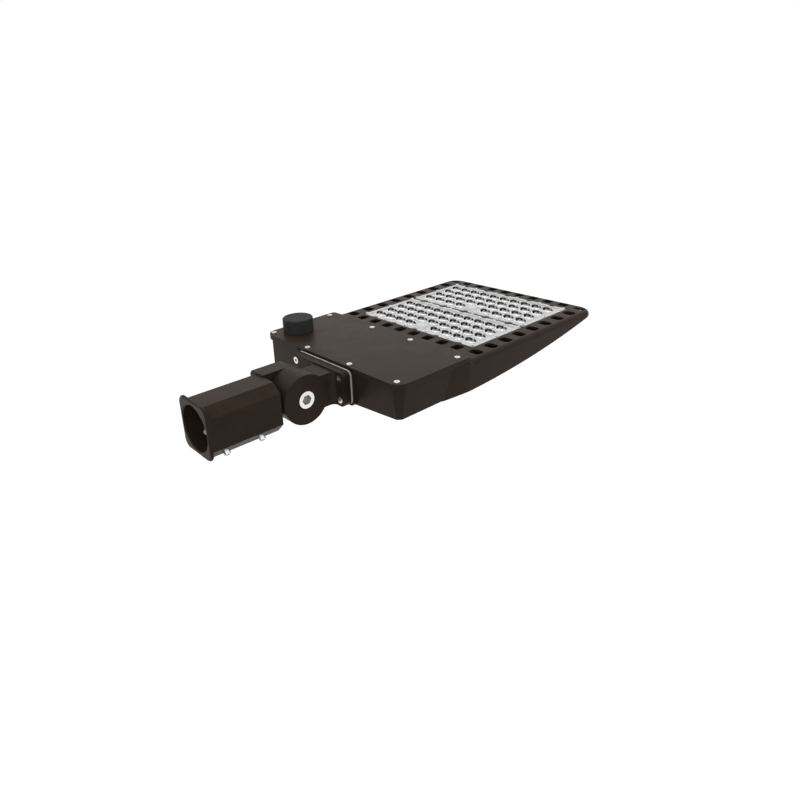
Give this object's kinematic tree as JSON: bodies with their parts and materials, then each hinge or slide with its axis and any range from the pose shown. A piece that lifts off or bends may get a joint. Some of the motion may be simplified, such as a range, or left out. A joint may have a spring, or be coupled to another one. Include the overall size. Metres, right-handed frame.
{
  "type": "shoebox area light",
  "caption": "Shoebox area light on a tilting slip fitter: a vented cast head with lens plates, a driver compartment and a twist-off sensor port cap.",
  "frame": {"origin": "on the tenon's axis, where the pole tenon's end stops inside the slip fitter", "axes": "+X from the fitter to the LED end, +Y across the light, +Z out of the lens face, up as pictured; in use the light is turned over"},
  "size_m": [0.6957, 0.324, 0.0994],
  "materials": {
    "bronze_casting": "fine textured dark bronze powder coat",
    "steel_screws": "stainless steel",
    "grey_gasket": "light grey silicone",
    "black_rubber": "black rubber",
    "driver_case": "plain aluminium case",
    "black_plastic": "matte black plastic",
    "pale_plastic": "pale plastic",
    "lead_sleeve": "insulated wire",
    "contact_brass": "plain brass",
    "board_white": "white coated metal board",
    "chip_yellow": "phosphor window",
    "clear_lens": "clear moulded plastic"
  },
  "bodies": {
    "fitter": {"slip_fitter": "bronze_casting", "tenon_set_screws": "steel_screws", "pivot_bolt": "steel_screws", "pivot_nut": "steel_screws"},
    "head": {"knuckle_bracket": "bronze_casting", "flange_gasket": "grey_gasket", "flange_screws": "steel_screws", "entry_grommet": "black_rubber", "housing": "bronze_casting", "cover_gasket": "black_rubber", "driver_cover": "bronze_casting", "cover_screws": "steel_screws", "led_driver": "driver_case", "driver_screws": "steel_screws", "surge_protector": "black_plastic", "terminal_block": "pale_plastic", "duct_grommet": "black_rubber", "output_leads": "lead_sleeve", "sensor_socket": "black_plastic", "socket_gasket": "black_rubber", "socket_nut": "black_plastic", "led_board_1": "board_white", "led_board_2": "board_white", "led_chips_1": "chip_yellow", "led_chips_2": "chip_yellow", "lens_gasket_1": "grey_gasket", "lens_gasket_2": "grey_gasket", "lens_plate_1": "clear_lens", "lens_plate_2": "clear_lens", "lens_screws": "steel_screws"},
    "cap": {"sensor_cap": "black_plastic", "cap_blades": "contact_brass"}
  },
  "joints": [
    {"name": "head_tilt", "type": "hinge", "parent": "fitter", "child": "head", "pos_m": [0.056, 0, 0.0016], "axis": [0, 1, 0], "range_deg": [-90, 90]},
    {"name": "cap_twist", "type": "hinge", "parent": "head", "child": "cap", "pos_m": [0.1674, 0.1299, 0.0375], "axis": [0, 0, 1], "range_deg": [0, 30]}
  ]
}
